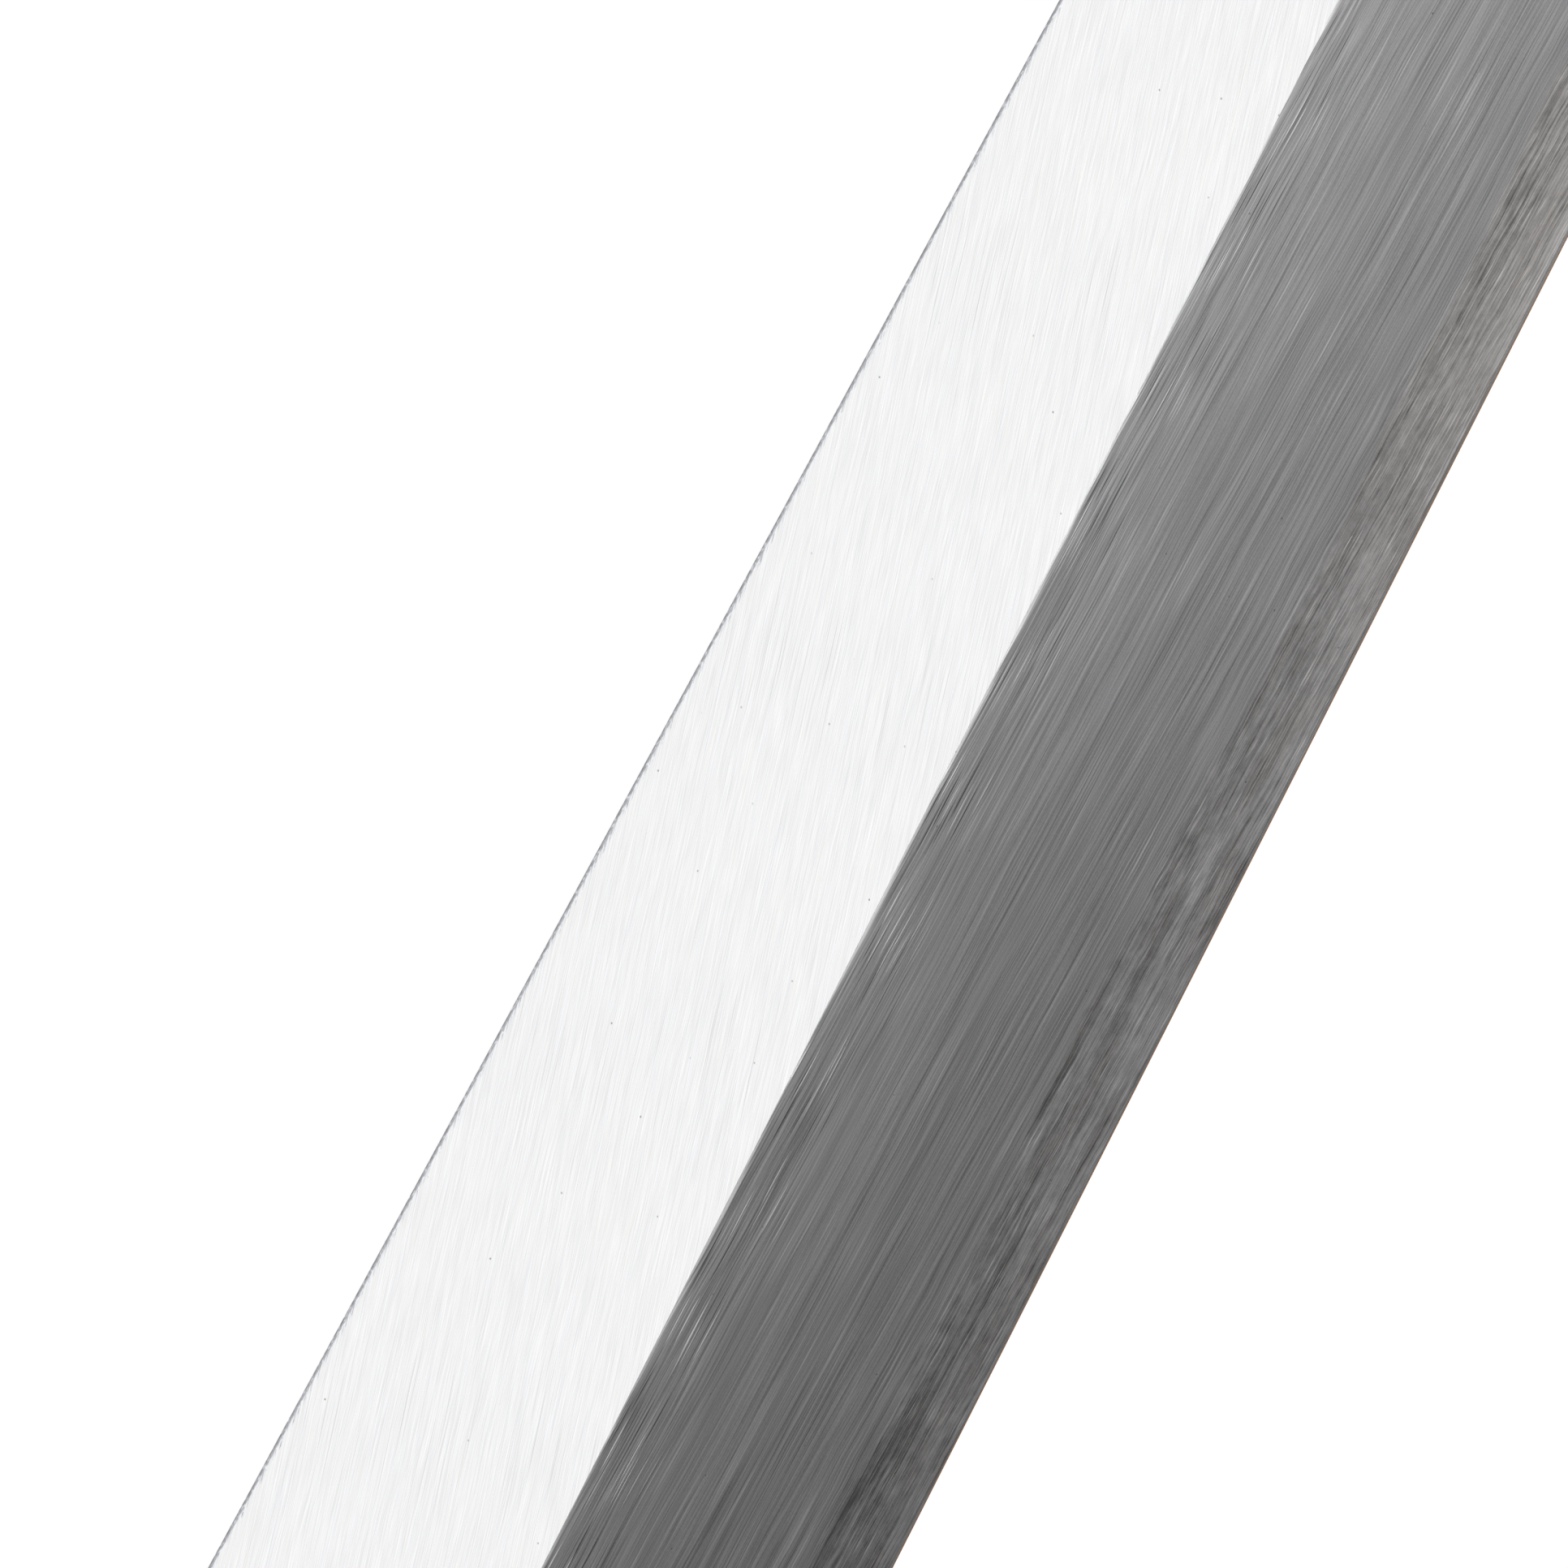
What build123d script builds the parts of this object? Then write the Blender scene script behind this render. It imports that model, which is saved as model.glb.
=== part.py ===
from build123d import *
import math
import os

# A yanagiba: the long single-bevel knife that slices raw fish, here for a right hand.
# Sizes are in millimetres and angles in degrees.
# The pieces are shaped in the knife's own frame and laid down together at the end.
# In that frame X runs from the heel to the tip, Y from the edge to the spine and
# Z out of the bevelled face. X is zero at the heel, Y on the axis of the handle and
# Z on the flat of the hollow-ground face.

# Blade, seen on its bevelled face
blade_length = 270.0
heel_height = 33.0
spine_over_axis_height = 8.5
spine_angle = 1.58
belly_length = 120.0
belly_power = 3.2
point_length = 34.0
point_drop_height = 1.3

# Blade, in section
spine_thickness = 4.0
point_thickness = 2.1
bevel_width = 16.8
bevel_foot_height = 0.04
hone_width = 0.2
spine_chamfer = 0.15

# Hard steel forge-welded under the soft iron
steel_thickness = 1.4
steel_neck_length = 3.0

# Hollow ground into the flat face, with a flat rim round it
hollow_radius = 270.0
hollow_end_power = 6.0
edge_rim_width = 1.3
spine_rim_width = 2.2
heel_rim_length = 5.0
point_rim_length = 24.0

# Neck and tang
neck_length = 14.0
neck_root_height = 14.0
heel_fillet = 5.0
notch_fillet = 1.1
neck_chamfer = 0.4
tang_height = 10.0
tang_thickness = 3.8
tang_length = 100.0
tang_end_height = 5.0
tang_end_thickness = 2.6

# Octagonal grip: wooden handle and horn ferrule to one outline
grip_length = 145.0
grip_height = 24.5
grip_thickness = 19.5
butt_height = 27.0
corner_share = 0.29
arris_radius = 0.5
front_chamfer = 0.9
butt_chamfer = 1.2
ferrule_length = 27.0

# Tenon of the handle in the bore of the ferrule
tenon_diameter = 14.5
glue_thickness = 0.05
tenon_recess = 0.4

# Burnt-in slot for the tang, and the seal in its mouth
slot_clearance = 0.3
seal_depth = 3.0
seal_width = 0.8

# How far each cutting shape runs past what it cuts
overrun = 2.0

# How many spans the curved outlines and the hollow are drawn through
curve_span_count = 10
hollow_span_count = 12

# Places that follow from the sizes
edge_y = spine_over_axis_height - heel_height
belly_start = blade_length - belly_length
point_start = blade_length - point_length
ferrule_front = -neck_length
ferrule_back = ferrule_front - ferrule_length
tenon_front = ferrule_front - tenon_recess
butt = ferrule_front - grip_length
tang_end = ferrule_front - tang_length
grip_z = tang_thickness / 2
grip_slope = (butt_height - grip_height) / 2 / grip_length
grip_plane = Plane(origin=(0, 0, grip_z), x_dir=(0, 1, 0), z_dir=(-1, 0, 0))


def spine_y(x):
    """The spine: a straight line that leans to the edge, and drops to the tip in a parabola."""
    past_share = max(x - point_start, 0) / point_length
    lean = x * math.tan(math.radians(spine_angle))
    return spine_over_axis_height - lean - point_drop_height * past_share**2


def edge_rise(x):
    """How far the belly has risen from the line of the straight edge, and its slope there."""
    whole_rise = spine_y(blade_length) - edge_y
    share = max(x - belly_start, 0) / belly_length
    slope = whole_rise * belly_power * share ** (belly_power - 1) / belly_length
    return whole_rise * share**belly_power, slope


def edge_point(x, inset):
    """The plan point that lies inset from the edge, square to it, opposite its point at x."""
    rise, slope = edge_rise(x)
    angle = math.atan(slope)
    return x - inset * math.sin(angle), edge_y + rise + inset * math.cos(angle)


def thickness(x):
    """Thickness of the blade at its spine."""
    return spine_thickness - (spine_thickness - point_thickness) * x / blade_length


def stations(start, end, spans):
    """Evenly spaced places from start to end, both taken in."""
    return [start + (end - start) * step / spans for step in range(spans + 1)]


def side_solid(outline):
    """What has this outline seen from the edge, wider than the knife is high."""
    face = make_face(Polyline(*[(x, 0, z) for x, z in outline], close=True))
    return extrude(face, amount=heel_height, dir=(0, 1, 0), both=True)


def plan_solid(plan):
    """What has this outline seen on the bevelled face, run past both faces of the blade."""
    return extrude(plan, amount=spine_thickness + overrun, dir=(0, 0, 1), both=True)


def rounded(plan, corner, radius):
    """The plan with its vertex nearest to this corner filleted."""
    return fillet(plan.vertices().sort_by_distance(corner)[0], radius)


def blade_plan():
    """Outline of the blade, left proud of the edge and the tip, where the bevels cut it."""
    last = blade_length + overrun
    point_places = [(x, spine_y(x)) for x in stations(point_start, last, curve_span_count)]
    belly_places = [edge_point(x, -overrun) for x in stations(belly_start, last, curve_span_count)]
    spine = Line((0, spine_over_axis_height), point_places[0])
    point = Spline(*point_places)
    proud_tip = Line(point_places[-1], belly_places[-1])
    belly = Spline(*belly_places, tangents=[(1, 0), (1, edge_rise(last)[1])])
    edge = Line(belly_places[0], (0, edge_y - overrun))
    heel = Line((0, edge_y - overrun), (0, spine_over_axis_height))
    return make_face([spine, point, proud_tip, belly, edge, heel])


def tang_plan(clearance):
    """Outline of the neck and tang, or with a clearance that of the slot burnt for them."""
    upper = [
        (0, neck_root_height / 2 + clearance),
        (ferrule_front, tang_height / 2 + clearance),
        (tang_end - clearance, tang_end_height / 2 + clearance),
    ]
    lower = [(x, -y) for x, y in reversed(upper)]
    return make_face(Polyline(*upper, *lower, close=True))


def forged_profile():
    """The knife's steel seen from the edge: blade, neck and tang all taper in thickness."""
    far_end = tang_end - overrun
    far_thinning = (tang_thickness - tang_end_thickness) / tang_length * overrun
    last = blade_length + overrun
    outline = (
        (far_end, 0),
        (last, 0),
        (last, thickness(last)),
        (0, spine_thickness),
        (ferrule_front, tang_thickness),
        (far_end, tang_end_thickness - far_thinning),
    )
    return side_solid(outline)


def bevel_height(x, inset):
    """Height of the main bevel at this inset from the edge, opposite the edge's point at x."""
    ridge_x, _ = edge_point(x, bevel_width)
    return bevel_foot_height + (thickness(ridge_x) - bevel_foot_height) * inset / bevel_width


def hone_height(x, inset):
    """Height of the narrow honed bevel, which runs from the edge up to the main one."""
    return bevel_height(x, hone_width) * inset / hone_width


def bevel_cutters(height, width):
    """What grinding a bevel takes off, along the straight edge and along the belly."""
    first = -heel_fillet - overrun
    last = blade_length + 2 * overrun

    def line(inset, places):
        points = [(*edge_point(x, inset), height(x, inset)) for x in places]
        return Spline(*points) if len(points) > 2 else Line(*points)

    cutters = []
    for places in ([first, belly_start], stations(belly_start, last, curve_span_count)):
        outer = line(-2 * overrun, places)
        inner = line(width + overrun, places)
        ground = Face.make_surface_from_curves(outer, inner)
        cutters.append(extrude(ground, amount=spine_thickness + overrun, dir=(0, 0, 1)))
    return cutters


def hollow_section(share):
    """Section of the hollow at this share of its length: an arc of the wheel's radius."""
    x = heel_rim_length + (blade_length - point_rim_length - heel_rim_length) * share
    low = edge_point(x, 0)[1] + edge_rim_width
    high = spine_y(x) - spine_rim_width
    fade_share = (1 - abs(2 * share - 1) ** hollow_end_power) ** (1 / hollow_end_power)
    half = (high - low) / 2 * fade_share
    middle = (low + high) / 2
    depth = hollow_radius - math.sqrt(hollow_radius**2 - half**2)
    near, far = middle - half, middle + half
    arc = ThreePointArc((x, near, 0), (x, middle, depth), (x, far, 0))
    below = Polyline((x, far, 0), (x, far, -overrun), (x, near, -overrun), (x, near, 0))
    return make_face([arc, below])


def hollow_cutter():
    """The long shallow trough that the wheel grinds, closer spaced where its ends fade."""
    half_steps = 2 * hollow_span_count
    turns = [math.pi * step / half_steps for step in range(1, half_steps, 2)]
    shares = [(1 - math.cos(turn)) / 2 for turn in turns]
    return loft([hollow_section(share) for share in shares])


def neck_cutter(side, root_radius, last_y):
    """What easing the neck's edge takes off, from inside the seal round the root to the blade."""
    run = neck_length + tenon_recess + seal_depth / 2
    root_y = side * neck_root_height / 2
    start_y = root_y - side * (neck_root_height - tang_height) / 2 * run / neck_length
    path = FilletPolyline((-run, start_y), (0, root_y), (0, last_y), radius=root_radius)
    ahead = path % 0
    inward = Vector(ahead.Y, -ahead.X, 0) * side * neck_chamfer
    upward = Vector(0, 0, neck_chamfer)
    corner_shares = ((2, 1), (-1, -2), (-1, 1))
    corners = [(path @ 0) + inward * across + upward * up for across, up in corner_shares]
    thinning = spine_thickness - tang_thickness
    face = Plane(
        origin=(0, 0, spine_thickness),
        x_dir=(neck_length, 0, thinning),
        z_dir=(-thinning, 0, neck_length),
    )
    return face.location * sweep(make_face(Polyline(*corners, close=True)), path=path)


def forging():
    """The finished blade with its neck and tang, before iron and steel are told apart."""
    plan = blade_plan() + tang_plan(0)
    plan = rounded(plan, (0, -neck_root_height / 2), heel_fillet)
    plan = rounded(plan, (0, neck_root_height / 2), notch_fillet)
    blank = plan_solid(plan) & forged_profile()
    spine_middles = (point_start / 2, point_start + point_length / 2)
    spine_places = [(x, spine_y(x), z) for x in spine_middles for z in (0, thickness(x))]
    spine_edges = [blank.edges().sort_by_distance(place)[0] for place in spine_places]
    blank = chamfer(spine_edges, spine_chamfer)
    ground_off = bevel_cutters(bevel_height, bevel_width) + bevel_cutters(hone_height, hone_width)
    ground_off.append(neck_cutter(1, notch_fillet, spine_over_axis_height + overrun))
    ground_off.append(neck_cutter(-1, heel_fillet, edge_y - overrun))
    for cutter in ground_off:
        blank -= cutter
    return blank - hollow_cutter()


def steel_zone():
    """Where the forging is hard steel: an even share of its thickness, up to the neck."""
    share = steel_thickness / spine_thickness
    last = blade_length + overrun
    outline = (
        (-steel_neck_length, -overrun),
        (last, -overrun),
        (last, thickness(last) * share),
        (-steel_neck_length, thickness(-steel_neck_length) * share),
    )
    return side_solid(outline)


def grip_span(front, back, outline):
    """A solid of this outline round the axis of the grip, from front to back."""
    return extrude(grip_plane.offset(-front) * outline, amount=front - back)


def across_grip(front, back):
    """All of space between two places along the grip."""
    return grip_span(front, back, Rectangle(2 * heel_height, 2 * heel_height))


def grip():
    """The octagonal bar that is ferrule in front and handle behind, planed flat by flat."""
    half_height = grip_height / 2
    half_thickness = grip_thickness / 2
    flat_height = half_height - corner_share * grip_height
    flat_thickness = half_thickness - corner_share * grip_thickness
    corners = [(half_height, flat_thickness), (flat_height, half_thickness)]
    corners += [(-y, z) for y, z in reversed(corners)]
    corners += [(-y, -z) for y, z in corners]
    bar = across_grip(ferrule_front, butt)
    for (y, z), (next_y, next_z) in zip(corners, corners[1:] + corners[:1]):
        across = Vector(0, next_z - z, y - next_y).normalized()
        flat = Plane(origin=(ferrule_front, y, grip_z + z), z_dir=across + Vector(grip_slope, 0, 0))
        bar = split(bar, bisect_by=flat, keep=Keep.BOTTOM)
    bar = chamfer(bar.faces().sort_by(Axis.X)[-1].edges(), front_chamfer)
    bar = chamfer(bar.faces().sort_by(Axis.X)[0].edges(), butt_chamfer)
    return fillet(bar.edges().filter_by(lambda edge: edge.length > grip_length / 2), arris_radius)


def ferrule():
    """Horn ring at the front of the grip, bored through for the tenon."""
    bore = grip_span(ferrule_front + overrun, ferrule_back - overrun, Circle(tenon_diameter / 2))
    return (grip() & across_grip(ferrule_front + overrun, ferrule_back)) - bore


def seal_pocket():
    """The pocket round the tang in the end of the tenon."""
    outline = RectangleRounded(
        tang_height + 2 * seal_width, tang_thickness + 2 * seal_width, seal_width
    )
    return grip_span(tenon_front, tenon_front - seal_depth, outline)


def handle():
    """Wooden handle with its tenon, slotted for the tang."""
    tenon = Circle(tenon_diameter / 2 - glue_thickness)
    wood = grip() & across_grip(ferrule_back, butt - overrun)
    wood += grip_span(tenon_front, ferrule_back - overrun, tenon)
    slot = plan_solid(tang_plan(slot_clearance)) & forged_profile()
    return wood - slot - seal_pocket()


def lying_place(pieces):
    """Where the knife goes to lie bevel up on a table, on its ferrule's rim and its tip."""
    rim_drop = grip_thickness / 2 + front_chamfer * grip_slope - grip_z
    rim_to_tip = blade_length - ferrule_front + front_chamfer
    nose_down = Rot(Y=math.degrees(math.atan2(rim_drop, rim_to_tip)))
    box = Compound([nose_down * piece for piece in pieces]).bounding_box()
    return Pos(-box.center().X, -box.center().Y, -box.min.Z) * nose_down


def knife():
    """Every piece of the knife by name, in the knife's own frame."""
    steel = steel_zone()
    blade = forging()
    pieces = {
        "iron_body": blade - steel,
        "steel_layer": blade & steel,
        "ferrule": ferrule(),
        "handle": handle(),
        "tang_seal": seal_pocket() - blade,
    }
    return {name: piece.solid() for name, piece in pieces.items()}


if __name__ == "__main__":
    os.makedirs("parts", exist_ok=True)
    pieces = knife()
    place = lying_place(pieces.values())
    for name, piece in pieces.items():
        export_step(place * piece, f"parts/{name}.step")
        print(name, "volume", round(piece.volume), "valid", piece.is_valid)
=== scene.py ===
import math

import bmesh
import bpy
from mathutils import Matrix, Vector

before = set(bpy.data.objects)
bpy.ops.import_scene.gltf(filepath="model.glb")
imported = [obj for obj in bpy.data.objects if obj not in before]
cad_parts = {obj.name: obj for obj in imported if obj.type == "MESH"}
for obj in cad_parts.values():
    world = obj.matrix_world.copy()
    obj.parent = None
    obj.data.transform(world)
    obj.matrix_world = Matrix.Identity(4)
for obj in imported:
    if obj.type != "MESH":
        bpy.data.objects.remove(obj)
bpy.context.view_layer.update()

# A yanagiba lying bevel up: steel, horn, wood and resin over the solids of the frame.
# Objects are in metres. The finishes read places in the knife's own frame, in millimetres:
# x from the heel to the tip, y from the edge to the spine and z out of the bevelled face.

# The knife's own frame in the frame of the model
knife_origin = (-0.0553734, 0.00550517, 0.00744416)
knife_lean = math.radians(1.57986)
millimetre = 0.001

# Sizes of the blade that its finish follows
blade_length = 270.0
spine_thickness = 4.0
point_thickness = 2.1
thickness_taper = (spine_thickness - point_thickness) / blade_length
bevel_width = 16.8
spine_over_axis = 8.5
spine_slope = math.tan(math.radians(1.58))

# Lines that the wheel brushed on the flat, at an angle to the spine, and that the stone cut
# along the bevel. Each row starts a share of a line further on than the row beside it, and
# all rows sway a little, with a ripple near the edge.
brush_angle = math.radians(14.5)
brush_length = 4.2
brush_width = 0.046
stone_slope = math.tan(math.radians(1.5))
stone_length = 9.0
stone_width = 0.075
row_shift = 0.37
sway_depth = 0.18
ripple_depth = 0.10

# Clouds and scuffs of the steel run down to the edge a little more steeply
scuff_slope = math.tan(math.radians(3.0))
scuff_lean = 0.37

# Bands of the bevel: how far from the edge each one begins and is complete
burr_band = (0.11, 0.25)
honed_band = (0.30, 0.40)
worn_band = (1.4, 3.2)
weld_band = (3.9, 4.5)
calm_band = (4.5, 7.5)
paling_band = (7.0, 17.0)
coarse_band = (12.4, 16.4)
crease_band = (15.9, 16.3)
# The ridge band is painted bright, a painted highlight in place of the light on a rounded ridge
ridge_band = (16.60, 16.86)

# How far the clouds and lines push the borders of three of them about
weld_wander = {"cloud": 1.6, "long": 0.6}
coarse_wander = {"cloud": 1.8}
ridge_wander = {"cloud": 0.4, "fine": 0.3}

# Stretches along the blade, from the heel, and of the neck, behind it
heel_stretch = (14.0, 44.0)
tip_stretch = (55.0, 108.0)
neck_stretch = (0.0, 0.4)

# The flat begins at this share of the thickness, and the hollow this far off the back
flat_share = 0.999
hollow_rise = (0.004, 0.03)

# How far up a surface faces where it counts as a face, and as the broken edge of the spine
face_turn = (0.85, 0.90)
rim_turn = (0.3, 0.5)

# The broken edge of the spine: how far in it ends, and how deep its teeth bite
broken_end = (0.13, 0.20)
tooth_share = (0.50, 0.66)
tooth_depth = 0.16
rim_band = (0.04, 0.12)
tick_share = (0.56, 0.68)

# Noise on the blade: the length and width of its blobs
sway_noise = {"size": (9.0, 4.0, 1.0), "detail": 1.0}
ripple_noise = {"size": (2.2, 1.0, 1.0), "detail": 1.0}
fine_noise = {"size": (1.0, 1.0, 1.0), "roughness": 0.7}
long_noise = {"size": (2.6, 3.4, 1.0), "roughness": 0.6, "shift": (4.0, 7.0, 0.0)}
cloud_noise = {"size": (9.0, 2.6, 1.0)}
speck_noise = {"size": (0.09, 0.07, 1.0), "turn": (0, 0, 0.7), "detail": 1.0}
haze_noise = {"size": (8.0, 0.95, 1.0)}
mottle_noise = {"size": (2.2, 0.28, 1.0), "detail": 3.0, "roughness": 0.6, "shift": (5.0, 2.0, 0.0)}
lump_noise = {"size": (0.75, 0.30, 1.0), "shift": (2.0, 9.0, 0.0)}
tooth_noise = {"size": (0.45, 7.0, 1.0), "roughness": 0.6, "shift": (0.0, 3.0, 0.0)}
tick_noise = {"size": (0.34, 0.12, 1.0), "roughness": 0.6}

# Strokes on the blade: the length and width of the cell that each lies in, how far over it
# the stroke reaches, and the share of cells without one. A stroke is strong over its core.
stroke_cut = {"cell": (14.0, 0.30), "reach": 0.19, "sparsity": 0.2}
groove_cut = {"cell": (8.0, 0.15), "reach": 0.26, "sparsity": 0.25, "shift": (3.0, 0.1, 0.0)}
furrow_cut = {"cell": (9.0, 0.16), "reach": 0.24, "sparsity": 0.2, "shift": (3.3, 0.2, 0.0)}
hair_cut = {"cell": (22.0, 0.16), "reach": 0.20, "sparsity": 0.6, "shift": (2.0, 0.3, 0.0)}
nick_cut = {"cell": (4.6, 3.3), "reach": 0.018, "sparsity": 0.55, "shift": (9.0, 4.0, 0.0)}
scuff_cut = {"cell": (4.0, 0.15), "reach": 0.24, "sparsity": 0.3, "shift": (1.0, 5.0, 0.0)}
fleck_cut = {"cell": (2.6, 0.17), "reach": 0.22, "sparsity": 0.3, "shift": (2.0, 4.0, 0.0)}
core_share = 0.3

# What the patterns average, so that they change a tone round its level
noise_middle = 0.5
cut_middle = 0.10
hair_middle = 0.05

# Tones of the blade: the level of each part, and how much each pattern changes it
flat_level = 0.72
flat_fine = 0.36
flat_long = 0.07
flat_hair = 0.12
bevel_level = 0.235
bevel_paling = 0.055
bevel_long = 0.15
bevel_speck = 0.08
bevel_stroke = 0.10
bevel_fine = 0.33
steel_fine = 0.05
coarse_fine = 0.18
coarse_groove = 0.34
coarse_furrow = 0.26
steel_darkening = 0.014
steel_haze = 0.20
tip_calming = 0.09
steel_mottle = 0.13
steel_lump = 0.10
steel_scuff = 0.15
steel_fleck = 0.06
worn_paling = 0.025
# Painted light and shade along the bevel: the next three paint the tip paler, the worn edge at the tip
# paler still (partly from wear), and the heel darker
tip_painted_light = 0.012
worn_tip_painted_light = 0.030
heel_painted_shade = 0.07
weld_paling = 0.06
crease_paling = 0.02
darkest_bevel = 0.09
honed_gain = 0.50
neck_level = 0.55
neck_fine = 0.3
back_level = 0.76
back_fine = 0.3
hollow_darkening = 0.24
rim_level = 0.44
rim_paling = 0.17
rim_tick = 0.5
tick_paling = 0.22
side_level = 0.56
side_fine = 0.5

# Where a tint turns into the other, and how strong the stains and the warmth of the tip are
tint_share = (0.35, 0.65)
stain_share = (0.34, 0.52)
haze_stain = 0.25
furrow_stain = 0.5
steel_warmth = 0.15
tip_warmth = 0.70
nick_strength = 0.6

# Colours of the blade, in linear light
cool_silver = (0.984, 0.986, 1.0, 1)
warm_silver = (1.0, 0.999, 0.994, 1)
cool_sheen = (0.985, 0.985, 1.0, 1)
rosy_sheen = (1.0, 0.985, 0.995, 1)
warm_sheen = (1.0, 0.970, 0.945, 1)
stain_tint = (1.0, 0.93, 0.87, 1)
rim_tint = (0.93, 0.95, 1.0, 1)
# A painted highlight along the ridge
painted_ridge_highlight = (0.95, 0.95, 0.95, 1)
burr_brown = (0.46, 0.32, 0.235, 1)
nick_black = (0.06, 0.045, 0.035, 1)

# How rough the blade is, and how deep its lines and cuts are
blade_roughness = 0.34
flat_smoothing = 0.06
long_roughness = 0.10
broken_roughness = 0.12
line_depth = 0.000001
cut_depth = 6.0
groove_height = 1.1

# Horn: smoky streaks and fibres that drift sideways as it grew, and a fine grain
drift_noise = {"size": (12.0, 6.0, 6.0)}
smoke_noise = {"size": (20.0, 4.5, 4.5), "turn": (0, 0, 0.08), "detail": 3.0}
strand_noise = {"size": (26.0, 0.55, 0.55), "turn": (0, 0, 0.05), "detail": 4.0, "roughness": 0.55}
grain_noise = {"size": (9.0, 0.16, 0.16), "turn": (0, 0, 0.04)}
drift_depth = 2.4
smoke_share = (0.46, 0.74)
strand_share = (0.35, 0.75)
smoke_alone = 0.35
smoke_in_strands = 0.65
horn_black = (0.011, 0.0095, 0.0085, 1)
smoky_horn = (0.115, 0.088, 0.064, 1)
grain_shade = 0.85
grain_paling = 0.3
horn_roughness = 0.20
smoke_roughness = 0.10
grain_roughness = 0.04
grain_depth = 0.000004
horn_gloss = 0.5
horn_coat = 0.25
coat_roughness = 0.12

# Ho wood: rings round a heart outside the handle, each with pale early and darker late wood
heart_y = -46.0
heart_z = 20.0
ring_noise = {"size": (60.0, 12.0, 12.0)}
season_noise = {"size": (3.1, 1.0, 1.0), "detail": 1.0}
fibre_noise = {"size": (14.0, 0.12, 0.12), "roughness": 0.6}
pore_noise = {"size": (2.6, 0.09, 0.09), "detail": 1.0}
wear_noise = {"size": (30.0, 14.0, 14.0)}
ring_wander = 4.0
ring_turn = 3.6
season_turn = 3.0
late_sharpness = 3.0
late_level = 0.25
late_season = 0.7
pore_share = (0.62, 0.74)
pore_strength = 0.45
wear_share = (0.35, 0.75)
wear_strength = 0.35
early_wood = (0.76, 0.635, 0.435, 1)
late_wood = (0.60, 0.475, 0.295, 1)
worn_wood = (0.66, 0.58, 0.41, 1)
pore_brown = (0.34, 0.25, 0.15, 1)
fibre_shade = 0.86
fibre_paling = 0.28
fibre_height = 0.7
ring_hollow = 0.3
pore_hollow = 0.8
wood_depth = 0.00004
wood_roughness = 0.52
fibre_roughness = 0.2

# Resin, poured hot and a little uneven
pour_noise = {"size": (1.6, 1.2, 1.2)}
deep_resin = (0.020, 0.012, 0.007, 1)
lit_resin = (0.055, 0.032, 0.018, 1)
pour_depth = 0.00012
resin_roughness = 0.3

# The picture: its centre on the blade, its width and its roll round the line of sight
picture_centre = (0.00670, 0.00522, 0.00929)
picture_width = 0.08394
picture_roll = math.radians(-63.08)
lens_length = 1000
film_width = 36
nearest_seen = 0.01
farthest_seen = 20.0

# The floor's reach, paint and own glow, and the room's wall and its greyer ceiling
floor_reach = 3.0
floor_paint = (0.36, 0.36, 0.36, 1)
floor_glow = 0.82
wall_level = 0.92
ceiling_drop = 0.60
ceiling_rise = (0.25, 0.60)

# Soft lamps: the name of each, where it stands, what it faces, its size and its level
lamps = [
    ("overhead_box", (0.0, 0.05, 1.3), (0, 0, 0), (1.1, 0.9), 1.10),
    ("tip_side_box", (1.5, -1.0, 1.1), (0, 0, 0), (2.0, 1.1), 0.6),
    ("near_box", (0.15, -0.16, 0.32), (0.05, 0, 0), (0.18, 0.14), 1.6),
    ("spine_side_box", (-0.6, 1.5, 1.4), (0, 0, 0), (2.0, 1.2), 0.6),
]


class Value:
    """A number, colour or vector that varies over a surface, as an output of a node."""

    def __init__(self, finish, socket):
        self.finish = finish
        self.socket = socket

    def math(self, operation, *operands):
        return self.finish.node("ShaderNodeMath", {"operation": operation}, dict(enumerate(operands)))

    def __add__(self, other):
        return self.math("ADD", self, other)

    def __sub__(self, other):
        return self.math("SUBTRACT", self, other)

    def __mul__(self, other):
        return self.math("MULTIPLY", self, other)

    def __truediv__(self, other):
        return self.math("DIVIDE", self, other)

    def __rsub__(self, other):
        return self.math("SUBTRACT", other, self)

    def __rtruediv__(self, other):
        return self.math("DIVIDE", other, self)

    def __neg__(self):
        return self.math("MULTIPLY", self, -1.0)

    __radd__ = __add__
    __rmul__ = __mul__

    def over(self, other):
        return self.math("MAXIMUM", self, other)

    def under(self, other):
        return self.math("MINIMUM", self, other)

    def power(self, exponent):
        return self.math("POWER", self, exponent)

    def sine(self):
        return self.math("SINE", self)

    def past(self, limit):
        """One where this is more than the limit, and nought elsewhere."""
        return self.math("GREATER_THAN", self, limit)

    def swing(self, amount, middle=noise_middle):
        """How far this is over its middle, times an amount."""
        return (self - middle) * amount

    def choose(self, one, nought):
        """The first where this is one, the second where it is nought."""
        return self.finish.node("ShaderNodeMix", {}, {0: self, 1: nought, 2: one})

    def rise(self, low, high):
        """Nought below low, one above high and a smooth rise between them."""
        settings = {"interpolation_type": "SMOOTHSTEP"}
        return self.finish.node("ShaderNodeMapRange", settings, {"Value": self, 1: low, 2: high})


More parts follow.
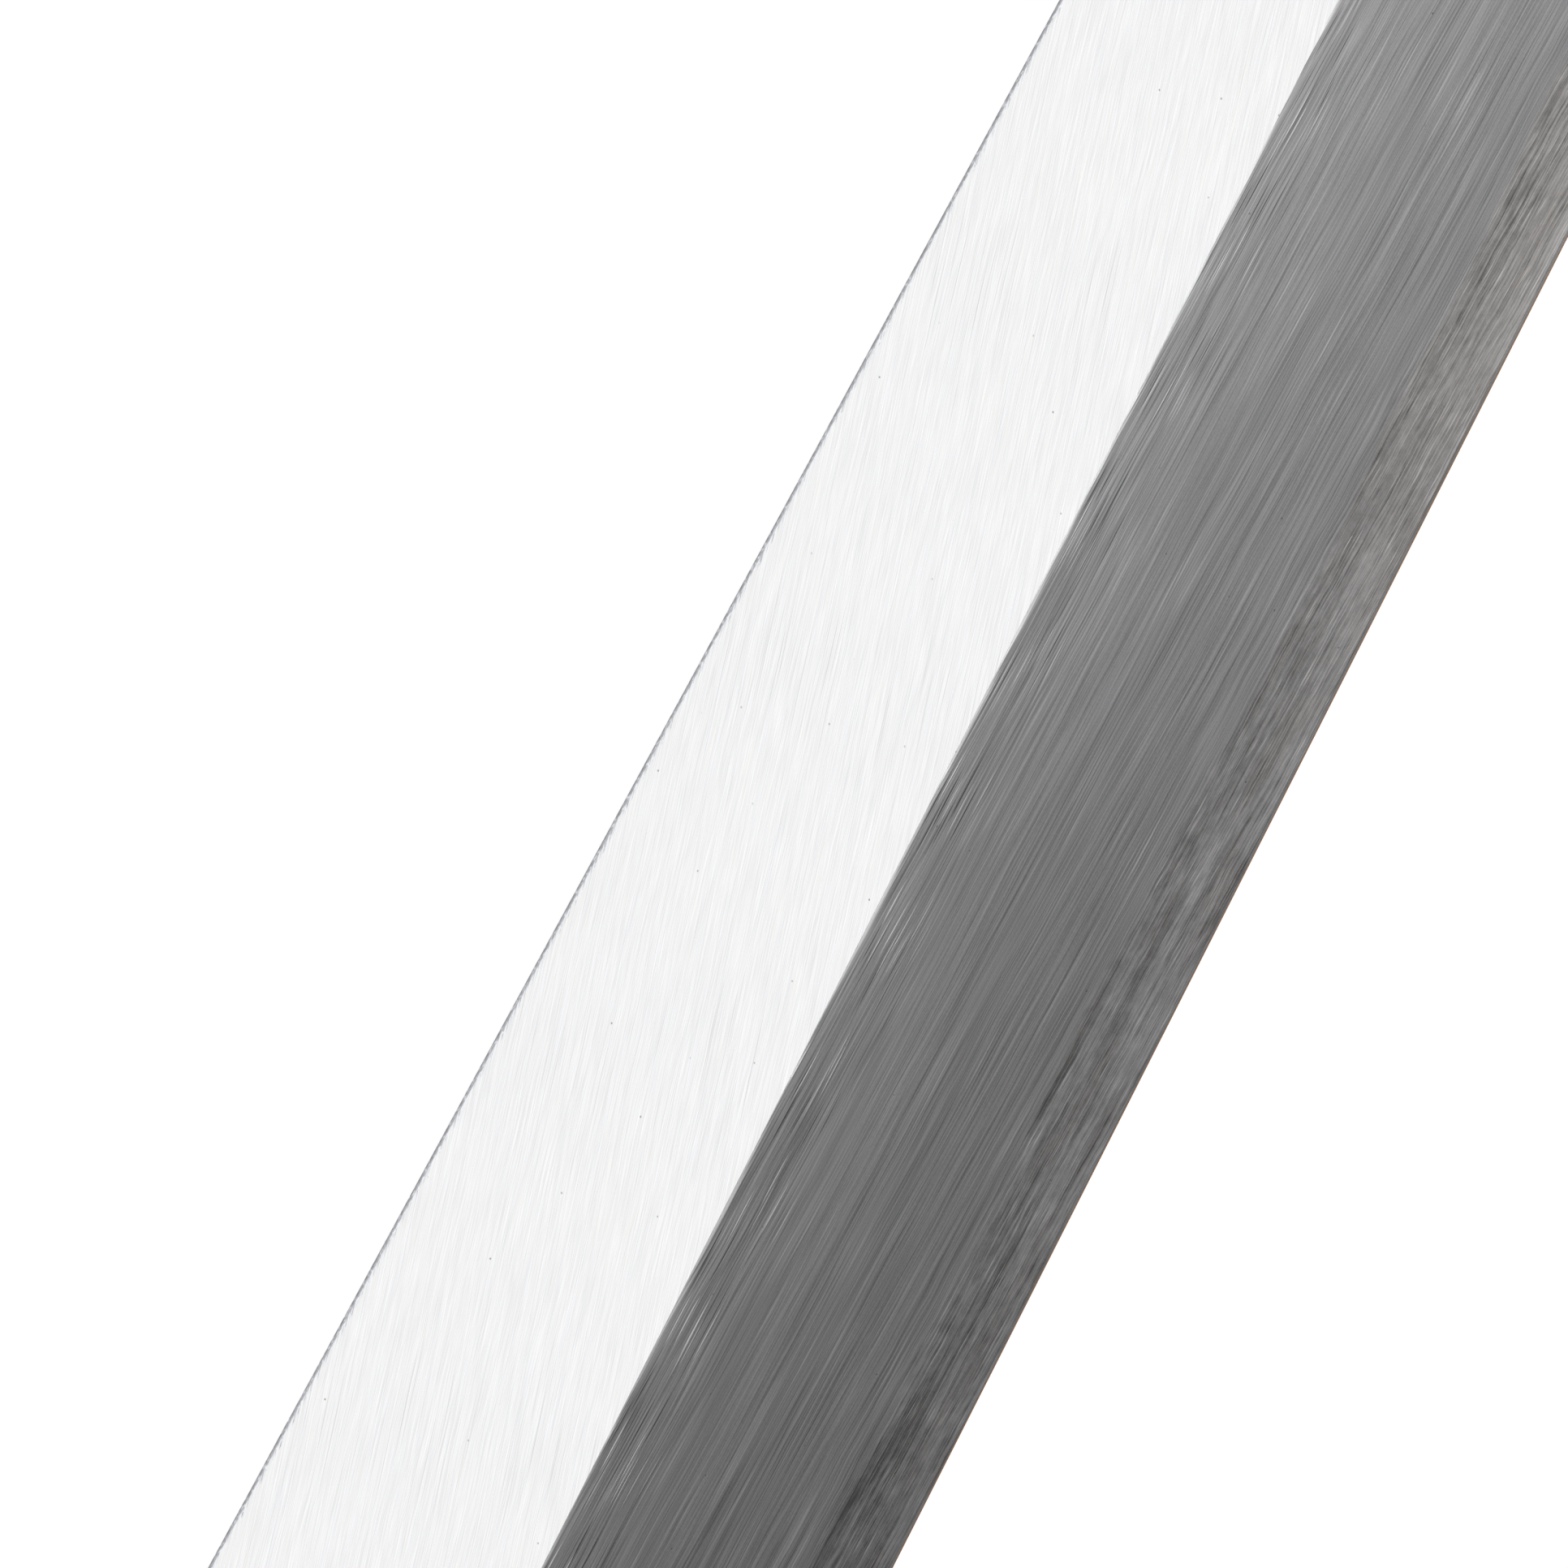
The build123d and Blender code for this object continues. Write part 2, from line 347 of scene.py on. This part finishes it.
class Finish:
    """The finish of a surface: a material and the nodes that make it."""

    def __init__(self, name, world=None):
        self.owner = world or bpy.data.materials.new(name)
        self.owner.use_nodes = True
        self.tree = self.owner.node_tree
        self.tree.nodes.clear()

    def node(self, kind, settings=None, sockets=None, output=0):
        """Adds a node: first its settings, then the values or links of its sockets."""
        made = self.tree.nodes.new(kind)
        for name, value in (settings or {}).items():
            setattr(made, name, value)
        for name, value in (sockets or {}).items():
            socket = self.pick(made.inputs, name)
            if isinstance(value, Value):
                self.tree.links.new(value.socket, socket)
            else:
                socket.default_value = value
        return Value(self, self.pick(made.outputs, output)) if made.outputs else None

    @staticmethod
    def pick(sockets, name):
        """The socket of this name or number among those in use."""
        if isinstance(name, int):
            return [socket for socket in sockets if socket.enabled][name]
        return next(socket for socket in sockets if socket.enabled and socket.name == name)

    def beside(self, value, name):
        """Another output of the node that this value comes from."""
        return Value(self, value.socket.node.outputs[name])

    def mix(self, share, first, second, blend_type="MIX"):
        """A colour between two, or one laid on the other."""
        settings = {"data_type": "RGBA", "blend_type": blend_type, "clamp_factor": True}
        return self.node("ShaderNodeMix", settings, {0: share, 1: first, 2: second})

    def grey(self, value):
        """A plain grey of this lightness."""
        return self.node("ShaderNodeCombineColor", {}, {0: value, 1: value, 2: value})

    def tinted(self, colour, tint):
        """A colour under a tint."""
        return self.mix(1.0, colour, tint, "MULTIPLY")

    def place(self):
        """Place in the knife's own frame, in millimetres."""
        here = self.node("ShaderNodeTexCoord", {}, {}, "Object")
        return self.node(
            "ShaderNodeMapping",
            {"vector_type": "TEXTURE"},
            {
                "Vector": here,
                "Location": knife_origin,
                "Rotation": (0, knife_lean, 0),
                "Scale": (millimetre, millimetre, millimetre),
            },
        )

    def parts(self, vector):
        """The three numbers of a vector."""
        first = self.node("ShaderNodeSeparateXYZ", {}, {0: vector})
        return [self.beside(first, axis) for axis in "XYZ"]

    def joined(self, x, y, z):
        """A vector of three numbers."""
        return self.node("ShaderNodeCombineXYZ", {}, {"X": x, "Y": y, "Z": z})

    def noise(self, place, size, turn=(0, 0, 0), detail=2.0, roughness=0.5, shift=(0, 0, 0)):
        """Cloudy noise around one half, its blobs of this size and turned this way."""
        flat = turn == (0, 0, 0) and size[2] == 1.0
        laid = self.node(
            "ShaderNodeMapping",
            {"vector_type": "TEXTURE"},
            {"Vector": place, "Location": shift, "Rotation": turn, "Scale": size},
        )
        settings = {"noise_dimensions": "2D" if flat else "3D"}
        sockets = {"Vector": laid, "Scale": 1.0, "Detail": detail, "Roughness": roughness}
        return self.node("ShaderNodeTexNoise", settings, sockets)

    def scratches(self, place, cell, reach, sparsity, shift=(0, 0, 0)):
        """Scattered strokes, one to a cell and each as long and wide as reach makes of it."""
        laid = self.node(
            "ShaderNodeMapping",
            {"vector_type": "TEXTURE"},
            {"Vector": place, "Location": shift, "Scale": (*cell, 1.0)},
        )
        settings = {"voronoi_dimensions": "2D"}
        sockets = {"Vector": laid, "Scale": 1.0}
        distance = self.node("ShaderNodeTexVoronoi", settings, sockets, "Distance")
        chance = self.parts(self.beside(distance, "Color"))[0]
        return (1 - distance.rise(reach * core_share, reach)) * chance.rise(sparsity, 1.0)

    def bump(self, height, depth):
        """The surface with these heights on it, depth in metres where the height is one."""
        return self.node("ShaderNodeBump", {}, {"Height": height, "Distance": depth, "Strength": 1.0})

    def surface(self, **sockets):
        """Ends the finish in its shader."""
        named = {name.replace("_", " "): value for name, value in sockets.items()}
        shader = self.node("ShaderNodeBsdfPrincipled", {}, named)
        self.node("ShaderNodeOutputMaterial", {}, {"Surface": shader})
        return self.owner


class BladeFinish(Finish):
    """Brushed flat, stoned bevel and hollow-ground back, the same across iron and steel."""

    def __init__(self, name):
        super().__init__(name)
        self.find_faces()
        self.rule_lines()
        self.scatter_cuts()

    def find_faces(self):
        """Where on the blade this is, and which of its faces it belongs to."""
        self.spot = self.place()
        self.x, self.y, self.z = self.parts(self.spot)
        self.facing = self.parts(self.node("ShaderNodeTexCoord", {}, {}, "Normal"))[2]
        height_share = self.z / (spine_thickness - self.x * thickness_taper)
        self.inset = height_share * bevel_width
        self.from_spine = spine_over_axis - self.x * spine_slope - self.y
        self.above = self.facing.rise(*face_turn)
        self.below = (-self.facing).rise(*face_turn)
        self.flat = height_share.past(flat_share) * self.above
        self.neck = (-self.x).rise(*neck_stretch) * self.above

    def rule_lines(self):
        """The lines that each wheel and stone leaves, and the places along and across them."""
        x, y, flat, above, below = self.x, self.y, self.flat, self.above, self.below
        across_brush = y * math.cos(brush_angle) - x * math.sin(brush_angle)
        along_brush = x * math.cos(brush_angle) + y * math.sin(brush_angle)
        along = flat.choose(along_brush, (above + below).choose(x, x + y))
        stoned = above.choose(self.inset + x * stone_slope, below.choose(y, self.z))
        stoned = self.neck.choose(y, stoned)
        sway = self.noise(self.spot, **sway_noise)
        ripple = self.noise(self.spot, **ripple_noise)
        rippled = 1 - self.inset.rise(*calm_band)
        across = flat.choose(across_brush, stoned) + sway.swing(sway_depth)
        across = across + ripple.swing(rippled * ripple_depth)
        row = across * flat.choose(1 / brush_width, 1 / stone_width)
        length = flat.choose(brush_length, stone_length)
        self.lined = self.joined(along / length + row * row_shift, row, 0.0)
        self.laid = self.joined(along, across, 0.0)
        self.swept = self.joined(x + self.inset * scuff_lean, self.inset + x * scuff_slope, 0.0)
        self.fine = self.noise(self.lined, **fine_noise)
        self.long = self.noise(self.lined, **long_noise)
        self.cloud = self.noise(self.joined(x, across, 0.0), **cloud_noise)

    def scatter_cuts(self):
        """Cuts of the coarse stone near the ridge, and nicks all over."""
        self.groove = self.scratches(self.laid, **groove_cut)
        self.furrow = self.scratches(self.laid, **furrow_cut)
        self.nick = self.scratches(self.laid, **nick_cut)
        wandering = self.inset + self.cloud.swing(coarse_wander["cloud"])
        self.coarse = wandering.rise(*coarse_band)

    def flat_colour(self):
        """The flat beside the spine, brushed bright."""
        hair = self.scratches(self.laid, **hair_cut)
        tone = flat_level + self.fine.swing(flat_fine) + self.long.swing(flat_long)
        tone = tone - hair.swing(flat_hair, hair_middle)
        tint = self.mix(self.long.rise(*tint_share), cool_silver, warm_silver)
        return self.tinted(self.grey(tone), tint)

    def steel_patches_and_painted_light(self, haze, mottle, tipward):
        """Clouds, scuffs and wear of the steel: paler at the edge from wear, with painted light making
        the tip paler and painted shade making the heel darker.
        """
        lump = self.noise(self.swept, **lump_noise)
        scuff = self.scratches(self.swept, **scuff_cut)
        fleck = self.scratches(self.laid, **fleck_cut)
        worn = 1 - self.inset.rise(*worn_band)
        heelward = 1 - self.x.rise(*heel_stretch)
        patch = haze.swing(steel_haze - tipward * tip_calming)
        patch = patch + mottle.swing(steel_mottle) + lump.swing(steel_lump)
        patch = patch + scuff.swing(steel_scuff, cut_middle) - fleck.swing(steel_fleck, cut_middle)
        # Wear pales the edge; painted light makes the tip paler and painted shade makes the heel darker
        patch = patch + worn * worn_paling + tipward * (tip_painted_light + worn * worn_tip_painted_light)
        return patch - heelward * heel_painted_shade - steel_darkening

    def bevel_colour(self):
        """The stoned bevel: even on the iron, cloudy and faintly stained on the steel."""
        inset, coarse = self.inset, self.coarse
        haze = self.noise(self.swept, **haze_noise)
        mottle = self.noise(self.swept, **mottle_noise)
        speck = self.noise(self.spot, **speck_noise)
        stroke = self.scratches(self.laid, **stroke_cut)
        wander = self.cloud.swing(weld_wander["cloud"]) + self.long.swing(weld_wander["long"])
        on_steel = 1 - (inset + wander).rise(*weld_band)
        weld = on_steel * (1 - on_steel)
        tipward = self.x.rise(*tip_stretch)

        tone = bevel_level + inset.rise(*paling_band) * bevel_paling
        tone = tone + self.long.swing(bevel_long) + speck.swing(bevel_speck)
        fineness = bevel_fine + on_steel * steel_fine + coarse * coarse_fine
        tone = tone + self.fine.swing(fineness) + stroke.swing(bevel_stroke, cut_middle)
        tone = tone + self.steel_patches_and_painted_light(haze, mottle, tipward) * on_steel + weld * weld_paling
        cuts = self.groove.swing(coarse_groove, cut_middle) - self.furrow.swing(coarse_furrow, cut_middle)
        tone = tone + cuts * coarse + inset.rise(*crease_band) * crease_paling
        honed = 1 - inset.rise(*honed_band)
        tone = tone.over(darkest_bevel) * (1 + honed * honed_gain)

        stain = (1 - haze.rise(*stain_share)) * on_steel * haze_stain
        stain = (stain + self.furrow * coarse * furrow_stain).under(1.0)
        sheen = self.mix(mottle.rise(*tint_share), cool_sheen, rosy_sheen)
        sheen = self.mix(on_steel * (steel_warmth + tipward * tip_warmth), sheen, warm_sheen)
        colour = self.tinted(self.grey(tone), self.mix(stain, sheen, stain_tint))
        return self.mix(1 - inset.rise(*burr_band), colour, burr_brown)

    def spine_edge(self):
        """How far the spine is broken by a rough stone, and the colour that this leaves."""
        tooth = self.noise(self.lined, **tooth_noise)
        ragged = 1 - (self.from_spine - tooth.rise(*tooth_share) * tooth_depth).rise(*broken_end)
        broken = self.flat.choose(ragged, 1 - self.above - self.below)
        tick = self.noise(self.joined(self.x, self.from_spine, 0.0), **tick_noise)
        rim = rim_level + self.from_spine.rise(*rim_band) * rim_paling
        rim = rim + tick.swing(rim_tick) + tick.rise(*tick_share) * tick_paling
        tone = self.facing.rise(*rim_turn).choose(rim, side_level + self.fine.swing(side_fine))
        return broken, self.tinted(self.grey(tone), rim_tint)

    def material(self):
        """Every face in its place, a painted highlight along the ridge, and the lines, cuts and nicks
        over them.
        """
        fine, flat, neck = self.fine, self.flat, self.neck
        wander = self.cloud.swing(ridge_wander["cloud"]) + fine.swing(ridge_wander["fine"])
        # Just below the ridge the bevel is painted a bright highlight, in place of the light on a rounded
        # ridge, and is made as smooth as the flat
        turned = (self.inset + wander).rise(*ridge_band) * self.above
        broken, broken_colour = self.spine_edge()
        hollow = self.z.rise(*hollow_rise) * hollow_darkening
        colour = self.mix(turned, self.bevel_colour(), painted_ridge_highlight)
        colour = self.mix(flat, colour, self.flat_colour())
        colour = self.mix(neck, colour, self.grey(neck_level + fine.swing(neck_fine)))
        colour = self.mix(self.below, colour, self.grey(back_level - hollow + fine.swing(back_fine)))
        colour = self.mix(broken, colour, broken_colour)
        colour = self.mix(self.nick * nick_strength, colour, nick_black)
        roughness = blade_roughness - turned.over(flat) * flat_smoothing
        roughness = roughness + self.long.swing(long_roughness) + broken * broken_roughness
        bevel_only = self.above - flat - neck
        cuts = self.groove * self.coarse * bevel_only * groove_height - self.nick
        skin = self.bump(fine + cuts * cut_depth, line_depth)
        return self.surface(Base_Color=colour, Metallic=1.0, Roughness=roughness, Normal=skin)


def horn_finish():
    """Polished buffalo horn, black with smoky streaks."""
    finish = Finish("polished_horn")
    place = finish.place()
    drift = finish.noise(place, **drift_noise) * drift_depth
    bend = finish.joined(0.0, drift, drift)
    grown = finish.node("ShaderNodeVectorMath", {"operation": "ADD"}, {0: place, 1: bend})
    smoke = finish.noise(grown, **smoke_noise).rise(*smoke_share)
    strand = finish.noise(grown, **strand_noise).rise(*strand_share)
    grain = finish.noise(place, **grain_noise)
    pale = smoke * (smoke_alone + strand * smoke_in_strands)
    colour = finish.mix(pale, horn_black, smoky_horn)
    return finish.surface(
        Base_Color=finish.tinted(colour, finish.grey(grain_shade + grain * grain_paling)),
        Roughness=horn_roughness + pale * smoke_roughness + grain * grain_roughness,
        Normal=finish.bump(grain, grain_depth),
        Specular_IOR_Level=horn_gloss,
        Coat_Weight=horn_coat,
        Coat_Roughness=coat_roughness,
    )


def wood_finish():
    """Plain ho wood, pale and fine grained, sanded and unvarnished."""
    finish = Finish("ho_wood")
    place = finish.place()
    x, y, z = finish.parts(place)
    across = (y - heart_y) * (y - heart_y) + (z - heart_z) * (z - heart_z)
    radius = across.power(0.5) + finish.noise(place, **ring_noise).swing(ring_wander)
    season = finish.noise(finish.joined(radius, 0.0, 0.0), **season_noise)
    ring = ((radius * ring_turn + season * season_turn).sine() + 1) / 2
    late = ring.power(late_sharpness) * (late_level + season * late_season)
    fibre = finish.noise(place, **fibre_noise)
    pore = finish.noise(place, **pore_noise).rise(*pore_share)
    wear = finish.noise(place, **wear_noise).rise(*wear_share)
    tone = finish.mix(late, early_wood, late_wood)
    tone = finish.mix(wear * wear_strength, tone, worn_wood)
    tone = finish.mix(pore * pore_strength, tone, pore_brown)
    skin = fibre * fibre_height - ring * ring_hollow - pore * pore_hollow
    return finish.surface(
        Base_Color=finish.tinted(tone, finish.grey(fibre_shade + fibre * fibre_paling)),
        Roughness=wood_roughness + fibre * fibre_roughness,
        Normal=finish.bump(skin, wood_depth),
    )


def resin_finish():
    """Dark resin poured round the neck."""
    finish = Finish("dark_resin")
    ripple = finish.noise(finish.place(), **pour_noise)
    return finish.surface(
        Base_Color=finish.mix(ripple, deep_resin, lit_resin),
        Roughness=resin_roughness,
        Normal=finish.bump(ripple, pour_depth),
    )


def dress(node, material):
    """Gives a solid of the frame its finish."""
    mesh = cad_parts[node].data
    mesh.materials.clear()
    mesh.materials.append(material)


def floor():
    """Plain pale floor, lit by the lamps and shown white, on which the shadow stays."""
    finish = Finish("pale_floor")
    rays = finish.node("ShaderNodeLightPath", {}, {}, "Is Camera Ray")
    glossy = finish.beside(rays, "Is Glossy Ray")
    through = finish.beside(rays, "Is Transmission Ray")
    seen = (rays + glossy + through).under(1.0)
    paint = finish.node("ShaderNodeBsdfDiffuse", {}, {"Color": floor_paint})
    glow = finish.node("ShaderNodeEmission", {}, {"Strength": seen * floor_glow})
    both = finish.node("ShaderNodeAddShader", {}, {0: paint, 1: glow})
    beneath = finish.node("ShaderNodeNewGeometry", {}, {}, "Backfacing")
    clear = finish.node("ShaderNodeBsdfTransparent")
    shader = finish.node("ShaderNodeMixShader", {}, {0: beneath, 1: both, 2: clear})
    finish.node("ShaderNodeOutputMaterial", {}, {"Surface": shader})
    mesh = bpy.data.meshes.new("floor")
    shape = bmesh.new()
    bmesh.ops.create_grid(shape, x_segments=1, y_segments=1, size=floor_reach)
    shape.to_mesh(mesh)
    shape.free()
    mesh.materials.append(finish.owner)
    piece = bpy.data.objects.new("floor", mesh)
    bpy.context.scene.collection.objects.link(piece)


def surroundings():
    """A white wall all round, and a greyer ceiling above it."""
    world = bpy.data.worlds.new("room")
    bpy.context.scene.world = world
    finish = Finish("room", world)
    upward = finish.parts(finish.node("ShaderNodeTexCoord", {}, {}, "Generated"))[2]
    strength = wall_level - upward.rise(*ceiling_rise) * ceiling_drop
    light = finish.node("ShaderNodeBackground", {}, {"Strength": strength})
    finish.node("ShaderNodeOutputWorld", {}, {"Surface": light})


def lamp(name, place, aim, size, level):
    """A soft lamp of this size that shines at this level from its whole face."""
    light = bpy.data.lights.new(name, "AREA")
    light.shape = "RECTANGLE"
    light.size, light.size_y = size
    light.energy = level * math.pi * size[0] * size[1]
    piece = bpy.data.objects.new(name, light)
    piece.location = place
    piece.visible_camera = False
    away = Vector(place) - Vector(aim)
    piece.rotation_euler = away.to_track_quat("Z", "Y").to_euler()
    bpy.context.scene.collection.objects.link(piece)


def camera():
    """The camera of the picture, straight above the blade."""
    view = bpy.data.cameras.new("camera")
    view.lens = lens_length
    view.sensor_width = film_width
    view.clip_start = nearest_seen
    view.clip_end = farthest_seen
    piece = bpy.data.objects.new("camera", view)
    distance = lens_length / film_width * picture_width
    piece.location = Vector(picture_centre) + Vector((0, 0, distance))
    piece.rotation_euler = (0, 0, picture_roll)
    bpy.context.scene.collection.objects.link(piece)
    bpy.context.scene.camera = piece


bpy.context.scene.view_settings.view_transform = "Standard"
dress("iron_body", BladeFinish("brushed_iron").material())
dress("steel_layer", BladeFinish("stoned_steel").material())
dress("ferrule", horn_finish())
dress("handle", wood_finish())
dress("tang_seal", resin_finish())
floor()
surroundings()
for values in lamps:
    lamp(*values)
camera()
